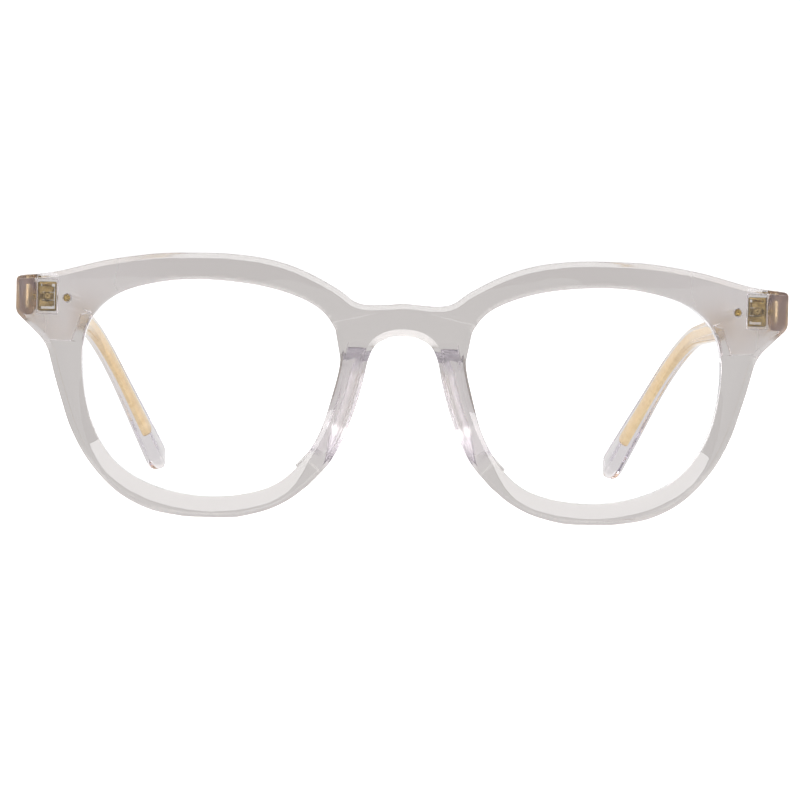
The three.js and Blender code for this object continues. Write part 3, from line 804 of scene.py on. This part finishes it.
def front_leaf(name):
    """The pierced plate in the pocket, with a stud to the front and two knuckles to the back."""
    x, z, floor = POCKET["x"], POCKET["z"], POCKET["floor"]
    back = floor + PLAY + LEAF_PLATE["thickness"]
    half_x, half_z = LEAF_PLATE["width"] / 2, LEAF_PLATE["height"] / 2
    plate = block(name, (x - half_x, floor + PLAY, z - half_z), (x + half_x, back, z + half_z))
    bevelled(plate, 0.3, 3)
    radius, tip = STUD["radius"], floor + PLAY - STUD["length"]
    profile = [(ON_AXIS, tip + 0.12), (0.16, tip + 0.08), (0.22, tip), (radius - 0.08, tip),
               (radius, tip + 0.08), (radius, back - LAP), (ON_AXIS, back - LAP)]
    parts = [turned("stud", profile, PIN_SIDES, (x, 0, z), "y")]
    for middle in (HINGE[2] - KNUCKLE_PITCH / 2, HINGE[2] + KNUCKLE_PITCH / 2):
        low, high = middle - KNUCKLE_HEIGHT / 2, middle + KNUCKLE_HEIGHT / 2
        parts.append(barrel(low, high))
        parts.append(block("arm", (HINGE[0] - KNUCKLE_RADIUS + 0.02, back - LAP, low + 0.01),
                           (HINGE[0] + KNUCKLE_RADIUS - 0.02, HINGE[1], high - 0.01)))
    combined(plate, parts, "UNION")
    windows = [block("window", (x + low_x, floor - 1, z + low_z), (x + high_x, HINGE[1] - 1.6, z + high_z))
               for (low_x, low_z), (high_x, high_z) in LEAF_WINDOWS]
    combined(plate, [screw_bore()] + windows, "DIFFERENCE")
    return shade(facing_out(plate), "metal")


def temple_leaf(name):
    """The plate let into the inner side of the temple, with the middle knuckle at its front."""
    outer = TEMPLE_FACE_X - FIT_GAP
    inner = outer - TEMPLE_LEAF["thickness"]
    half = TEMPLE_LEAF["height"] / 2
    start, end = TEMPLE_LEAF["start"], TEMPLE_LEAF["end"]
    plate = block(name, (inner, start, HINGE[2] - half), (outer, end, HINGE[2] + half))
    bevelled(plate, 0.25, 3)
    height = (KNUCKLE_PITCH - KNUCKLE_HEIGHT - 2 * PLAY) / 2 + 0.1
    low, high = HINGE[2] - height, HINGE[2] + height
    parts = [barrel(low, high),
             block("arm", (HINGE[0], HINGE[1], low + 0.01), (outer - 0.02, start + 0.5, high - 0.01))]
    combined(plate, parts, "UNION")
    combined(plate, [screw_bore()], "DIFFERENCE")
    return shade(facing_out(plate), "metal")


def screw(name):
    """The hinge screw: a threaded shank through the knuckles under a slotted head."""
    low = HINGE[2] - KNUCKLE_PITCH / 2 - KNUCKLE_HEIGHT / 2
    seat = HINGE[2] + KNUCKLE_PITCH / 2 + KNUCKLE_HEIGHT / 2 + 0.05
    top = seat + SCREW_HEAD["height"] + 0.1
    radius, shank = SCREW_HEAD["radius"], SCREW_RADIUS
    profile = [(ON_AXIS, low), (shank - 0.1, low), (shank, low + 0.1)]
    half_pitch = THREAD["pitch"] / 2
    for i in range(THREAD["turns"]):
        z = low + half_pitch + i * THREAD["pitch"]
        profile += [(shank - THREAD["depth"], z), (shank, z + half_pitch)]
    profile += [(shank, seat - 0.02), (radius - 0.12, seat), (radius, seat + 0.12),
                (radius, top - 0.22), (radius - 0.1, top - 0.1), (radius * 0.6, top),
                (ON_AXIS, top + 0.03)]
    body = turned(name, profile, BARREL_SIDES, (HINGE[0], HINGE[1], 0), "z")
    half = SCREW_HEAD["slot_width"] / 2
    slot = block("slot", (HINGE[0] - 2, HINGE[1] - half, top - SCREW_HEAD["slot_depth"]),
                 (HINGE[0] + 2, HINGE[1] + half, top + 1))
    pivot = Vector((HINGE[0], HINGE[1], 0)) * MM + Vector((0, FRONT_Y, 0))
    turn = Matrix.Rotation(math.radians(SCREW_HEAD["slot_turn"]), 4, "Z")
    slot.data.transform(Matrix.Translation(pivot) @ turn @ Matrix.Translation(-pivot))
    return shade(combined(body, [slot], "DIFFERENCE"), "metal")


def rivet_profile(radius, head, length):
    """From the tip of the shank, which has a small dimple, to the top of the domed head."""
    height = RIVET_HEAD_HEIGHT
    profile = [(ON_AXIS, -length + 0.15), (0.18, -length + 0.1), (0.26, -length),
               (radius - 0.12, -length), (radius, -length + 0.12), (radius, -0.05),
               (head - 0.06, 0), (head, 0.06)]
    for a in np.radians([20, 40, 60, 78]):
        profile.append((head * math.cos(a), 0.06 + (height - 0.06) * math.sin(a)))
    return profile + [(ON_AXIS, height)]


def front_rivet(name):
    sizes = (FRONT_RIVET[key] for key in ("radius", "head", "length"))
    profile = [(r, BLOCK_BACK + PLAY + h) for r, h in rivet_profile(*sizes)]
    place = (FRONT_RIVET["x"], 0, FRONT_RIVET["z"])
    return shade(turned(name, profile, PIN_SIDES, place, "y"), "metal")


def temple_rivet(name, y):
    seat = TEMPLE_FACE_X - FIT_GAP - TEMPLE_LEAF["thickness"]
    profile = [(r, seat - h) for r, h in rivet_profile(*TEMPLE_RIVET.values())]
    return shade(turned(name, profile, PIN_SIDES, (0, y, HINGE[2]), "x"), "metal")


# ---- Materials ----

EVEN = (1, 1, 1)                  # no stretch


class Graph:
    """The node tree of a material or world in the making. Most methods give back an output."""

    def __init__(self, holder):
        holder.use_nodes = True
        self.nodes, self.links = holder.node_tree.nodes, holder.node_tree.links
        self.nodes.clear()

    def add(self, kind, inputs=(), **settings):
        """A new node. Each of its inputs is linked to an output or set to a constant."""
        made = self.nodes.new("ShaderNode" + kind)
        for key, value in settings.items():
            setattr(made, key, value)
        for key, value in dict(inputs).items():
            if isinstance(value, bpy.types.NodeSocket):
                self.links.new(value, made.inputs[key])
            else:
                made.inputs[key].default_value = value
        return made

    def pattern(self, scale, stretch, detail):
        """Noise in the object's own space, in metres, drawn out by the stretch along each axis."""
        where = self.add("TexCoord").outputs["Object"]
        placed = self.add("Mapping", {"Vector": where, "Scale": stretch}).outputs["Vector"]
        return self.add("TexNoise", {"Vector": placed, "Scale": scale, "Detail": detail}).outputs["Fac"]

    def ramp(self, value, stops):
        made = self.add("ValToRGB", {"Fac": value})
        for i, (place, colour) in enumerate(stops):
            stop = made.color_ramp.elements[i] if i < 2 else made.color_ramp.elements.new(place)
            stop.position, stop.color = place, (*colour, 1)
        return made.outputs["Color"]

    def remapped(self, value, before, after=(0, 1)):
        """The value with one range of it stretched linearly to another, and held at its ends."""
        return self.add("MapRange", {"Value": value, "From Min": before[0], "From Max": before[1],
                                     "To Min": after[0], "To Max": after[1]}).outputs["Result"]

    def spread(self, noise, low, high):
        """Noise, which keeps near its middle, spread over a range."""
        return self.remapped(noise, (0.3, 0.7), (low, high))

    def bump(self, value, strength, distance, under=None):
        inputs = {"Height": value, "Strength": strength, "Distance": distance}
        if under is not None:
            inputs["Normal"] = under
        return self.add("Bump", inputs).outputs["Normal"]

    def calculated(self, operation, *values):
        return self.add("Math", enumerate(values), operation=operation).outputs["Value"]

    def satin(self, none_at, all_at, roughness):
        """Roughness that comes in over a range of depths behind the swept front, in millimetres."""
        place = self.add("SeparateXYZ", {"Vector": self.add("TexCoord").outputs["Object"]}).outputs
        square = self.calculated("MULTIPLY", place["X"], place["X"])
        swept_back = self.calculated("MULTIPLY", square, 1 / (2 * SWEEP_RADIUS * MM))
        depth = self.calculated("SUBTRACT", place["Y"], swept_back)
        return self.remapped(depth, (FRONT_Y + none_at * MM, FRONT_Y + all_at * MM), (0, roughness))

    def mixed(self, share, first, second):
        return self.add("MixShader", {"Fac": share, 1: first, 2: second}).outputs["Shader"]

    def by_ray(self, kind, others, these):
        """One shader for rays of a kind, such as "Is Camera Ray", and another for the others."""
        return self.mixed(self.add("LightPath").outputs[kind], others, these)


def clear_acetate(name, tint, density, satin_range, satin_roughness):
    """Crystal acetate: a warm grey tint, which is painted shade, a faint mauve over long paths, polished
    but for its satin.
    """
    made = bpy.data.materials.new(name)
    graph = Graph(made)
    haze = graph.spread(graph.pattern(HAZE_SCALE, EVEN, 4), 0.0, HAZE)
    roughness = graph.calculated("ADD", haze, graph.satin(*satin_range, satin_roughness))
    waves = graph.bump(graph.pattern(WAVE_SCALE, EVEN, 1), *WAVE_BUMP)
    shader = graph.add("BsdfPrincipled", {
        "Base Color": (*tint, 1), "Transmission Weight": 1, "IOR": ACETATE_IOR,
        "Roughness": roughness, "Normal": waves})
    shadow = graph.add("BsdfTransparent", {"Color": (*SHADOW_TINT, 1)})
    body = graph.add("VolumeAbsorption", {"Color": (*ACETATE_DEPTH_TINT, 1), "Density": density})
    surface = graph.by_ray("Is Shadow Ray", shader.outputs["BSDF"], shadow.outputs["BSDF"])
    graph.add("OutputMaterial", {"Surface": surface, "Volume": body.outputs["Volume"]})
    return made


def coated_resin():
    """Clear lens resin that shows only its coating's faint blue-violet reflection."""
    made = bpy.data.materials.new("lens_resin")
    graph = Graph(made)
    smears = graph.pattern(60, EVEN, 3)
    tint = graph.ramp(smears, [(0.3, (0.80, 0.84, 1)), (0.7, (0.88, 0.83, 1))])
    gloss = graph.add("BsdfGlossy", {"Roughness": graph.spread(smears, 0.0, 0.03), "Color": tint})
    clear = graph.add("BsdfTransparent", {"Color": (0.998, 0.999, 1, 1)})
    fresnel = graph.add("Fresnel", {"IOR": LENS_IOR})
    share = graph.calculated("MINIMUM", fresnel.outputs["Fac"], LENS_MOST_GLOSS)
    surface = graph.mixed(share, clear.outputs["BSDF"], gloss.outputs["BSDF"])
    graph.add("OutputMaterial", {"Surface": surface})
    return made


def plated(name, dark, light, rough, grain, stretch, depth, metallic=1.0):
    """Gold plating: worn lighter in patches, with brush or lathe marks along the stretch."""
    made = bpy.data.materials.new(name)
    graph = Graph(made)
    patches, lines = graph.pattern(900, EVEN, 4), graph.pattern(grain, stretch, 2)
    pits = graph.bump(patches, 0.15, depth)
    shader = graph.add("BsdfPrincipled", {
        "Metallic": metallic, "Base Color": graph.ramp(patches, [(0.35, dark), (0.65, light)]),
        "Roughness": graph.spread(lines, *rough), "Normal": graph.bump(lines, 0.4, depth, pits)})
    graph.add("OutputMaterial", {"Surface": shader.outputs["BSDF"]})
    return made


# ---- Stage ----

def floor():
    """A pale lit table. Through the acetate it shows as evenly bright as the air behind it."""
    mesh = bpy.data.meshes.new("floor")
    corners = [(x * FLOOR_REACH, y * FLOOR_REACH, 0) for x, y in ((-1, -1), (1, -1), (1, 1), (-1, 1))]
    mesh.from_pydata(corners, [], [(0, 1, 2, 3)])
    obj = linked(bpy.data.objects.new("floor", mesh))
    made = bpy.data.materials.new("pale_floor")
    graph = Graph(made)
    seen = graph.add("BsdfDiffuse", {"Color": (*FLOOR_COLOUR, 1)})
    glow = graph.add("Emission", {"Strength": FLOOR_GLOW})
    top = graph.add("AddShader", {0: seen.outputs["BSDF"], 1: glow.outputs["Emission"]})
    even = graph.add("Emission", {"Strength": FLOOR_EVEN})
    surface = graph.by_ray("Is Camera Ray", even.outputs["Emission"], top.outputs["Shader"])
    graph.add("OutputMaterial", {"Surface": surface})
    obj.data.materials.append(made)


def surroundings():
    """White to the camera. To everything else a studio: bright round the horizon, dim overhead."""
    world = bpy.data.worlds.new("studio")
    graph = Graph(world)
    way = graph.add("SeparateXYZ", {"Vector": graph.add("TexCoord").outputs["Generated"]}).outputs
    height = graph.ramp(way["Z"], STUDIO_HEIGHTS)
    depth = graph.ramp(graph.remapped(way["Y"], (-0.5, 0.5)), STUDIO_DEPTHS)
    both = graph.add("Mix", {"Factor": 1, "A": height, "B": depth}, data_type="RGBA",
                     blend_type="MULTIPLY")
    studio = graph.add("Background", {"Color": both.outputs["Result"], "Strength": STUDIO_STRENGTH})
    white = graph.add("Background", {"Color": (1, 1, 1, 1), "Strength": BACKDROP_STRENGTH})
    surface = graph.by_ray("Is Camera Ray", studio.outputs["Background"], white.outputs["Background"])
    graph.add("OutputWorld", {"Surface": surface})
    bpy.context.scene.world = world


def aimed(obj, place, aim, roll=0):
    """Puts a lamp or camera at a place, looking at another, turned by the roll in degrees."""
    looking = (Vector(aim) - Vector(place)).to_track_quat("-Z", "Y")
    obj.rotation_mode = "QUATERNION"
    obj.rotation_quaternion = looking @ Matrix.Rotation(math.radians(roll), 3, "Z").to_quaternion()
    obj.location = place
    return linked(obj)


def softbox(name, place, aim, size, radiance):
    light = bpy.data.lights.new(name, "AREA")
    light.shape = "RECTANGLE"
    light.size, light.size_y = size
    light.energy = radiance * math.pi * size[0] * size[1]
    aimed(bpy.data.objects.new(name, light), place, aim)


def camera():
    data = bpy.data.cameras.new("camera")
    data.sensor_width, data.lens = 36, CAMERA_LENS
    data.clip_start, data.clip_end = 0.01, 20
    place, aim = (CAMERA_SIDE, FRONT_Y - CAMERA_DISTANCE, CAMERA_HEIGHT), (AIM_SIDE, FRONT_Y, AIM_HEIGHT)
    bpy.context.scene.camera = aimed(bpy.data.objects.new("camera", data), place, aim, CAMERA_ROLL)


def rendering():
    scene = bpy.context.scene
    scene.view_settings.view_transform = "Standard"
    scene.view_settings.look = "None"
    cycles = scene.cycles
    cycles.max_bounces, cycles.transmission_bounces = 32, 28
    cycles.glossy_bounces, cycles.transparent_max_bounces = 12, 32
    cycles.diffuse_bounces = 3
    cycles.caustics_reflective = cycles.caustics_refractive = True
    cycles.blur_glossy = 0.3
    cycles.use_denoising = True
    cycles.seed = 7


# ---- The glasses ----

# The grey tints are painted shade: the acetate is clear, and they stand in for the dimmer backdrop seen
# through it. The temples' tint is lighter than the front's, a lighter copy of the same painted shade.
ACETATE_SHADE_TINT = (0.585, 0.56, 0.54)
TEMPLE_SHADE_TINT = (0.72, 0.70, 0.68)
ACETATE_DEPTH_TINT = (0.57, 0.48, 0.66)
ACETATE_DENSITY, TEMPLE_DENSITY = 21, 32
ACETATE_SATIN = ((2.8, 6.5), 0.3)  # depths between which the roughness comes in, and how much
TEMPLE_SATIN = ((6.6, 5.6), 0.35)  # its sawn butt
HAZE_SCALE, HAZE = 260, 0.02
WAVE_SCALE, WAVE_BUMP = 70, (0.06, 0.0004)
ACETATE_IOR = 1.49
SHADOW_TINT = (0.93, 0.925, 0.92)
LENS_IOR, LENS_MOST_GLOSS = 1.2, 0.08

FLOOR_COLOUR = (0.75, 0.75, 0.75)
FLOOR_GLOW, FLOOR_EVEN = 0.9, 1.0
FLOOR_REACH = 6.0
BACKDROP_STRENGTH = 1.1
STUDIO_STRENGTH = 1.5
STUDIO_HEIGHTS = [(0.35, (0.667, 0.667, 0.667)), (0.5, (0.86, 0.86, 0.86)),
                  (0.75, (0.86, 0.86, 0.86)), (0.95, (0.22, 0.18, 0.24))]
STUDIO_DEPTHS = [(0.1, (0.22, 0.2, 0.22)), (0.55, (1, 1, 1))]

CAMERA_SIDE, CAMERA_DISTANCE, CAMERA_HEIGHT = -0.0170, 0.630, 0.0478
AIM_SIDE, AIM_HEIGHT = -0.00043, 0.02224
CAMERA_LENS, CAMERA_ROLL = 156.5, 1.3

ACETATE = clear_acetate("crystal_acetate", ACETATE_SHADE_TINT, ACETATE_DENSITY, *ACETATE_SATIN)
TEMPLE_ACETATE = clear_acetate("temple_acetate", TEMPLE_SHADE_TINT, TEMPLE_DENSITY, *TEMPLE_SATIN)
RESIN = coated_resin()
# Hinge gold is darker than the rest: painted shade, standing in for the dark surroundings that its flat
# faces reflect.
SHADED_HINGE_GOLD = plated("hinge_gold", (0.22, 0.16, 0.06), (0.38, 0.29, 0.13), (0.42, 0.58), 900,
                    (1, 1, 8), 0.00002)
RIVET_GOLD = plated("rivet_gold", (0.42, 0.29, 0.07), (0.60, 0.45, 0.15), (0.2, 0.38), 1200,
                    (1, 6, 1), 0.00001)
SCREW_GOLD = plated("screw_gold", (0.45, 0.33, 0.14), (0.66, 0.50, 0.26), (0.2, 0.38), 1500,
                    (1, 1, 9), 0.00001)
# Core gold is brighter and paler than the rest: painted light, standing in for the light that reaches the
# strip through the temple.
LIT_CORE_GOLD = plated("core_gold", (0.86, 0.67, 0.38), (0.95, 0.77, 0.48), (0.35, 0.5), 700,
                   (6, 0.25, 6), 0.00001, 0.8)


def finished(obj, body, look, slot, *nodes):
    obj.data.materials.clear()
    obj.data.materials.append(look)
    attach(obj, body)
    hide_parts(*nodes)


def pair(left, stem, body, look, slot, node):
    """Finishes a piece and its mirror image. The body's name ends in the side if it has one."""
    right = mirrored(left, f"{stem}_right")
    left.name = left.data.name = f"{stem}_left"
    for obj, side in ((left, "left"), (right, "right")):
        finished(obj, body.format(side=side), look, slot, f"{node}_{side}")


finished(crystal_front(), "front", ACETATE, "crystal_acetate",
         "front_frame", "nose_pad_left", "nose_pad_right")
pair(lens("resin"), "clear_lens", "front", RESIN, "lens_resin", "lens")
pair(front_leaf("leaf"), "end_leaf", "front", SHADED_HINGE_GOLD, "hinge_gold", "front_hinge_leaf")
pair(front_rivet("pin"), "end_rivet", "front", RIVET_GOLD, "rivet_gold", "front_rivet")
pair(screw("screw"), "slotted_screw", "front", SCREW_GOLD, "screw_gold", "hinge_screw")
TEMPLE_BODY = "temple_arm_{side}"
pair(crystal_temple("arm"), "crystal_temple", TEMPLE_BODY, TEMPLE_ACETATE, "crystal_acetate", "temple")
pair(core_strip("core"), "core_strip", TEMPLE_BODY, LIT_CORE_GOLD, "core_gold", "core_wire")
pair(temple_leaf("leaf"), "arm_leaf", TEMPLE_BODY, SHADED_HINGE_GOLD, "hinge_gold", "temple_hinge_leaf")
for row, rivet_y in TEMPLE_RIVETS.items():
    pair(temple_rivet("pin", rivet_y), f"arm_rivet_{row}", TEMPLE_BODY, RIVET_GOLD, "rivet_gold",
         f"temple_rivet_{row}")

floor()
surroundings()
softbox("key", (0, FRONT_Y - 0.62, 0.48), (0, 0, 0.03), (1.9, 0.72), 6.2)
camera()
rendering()
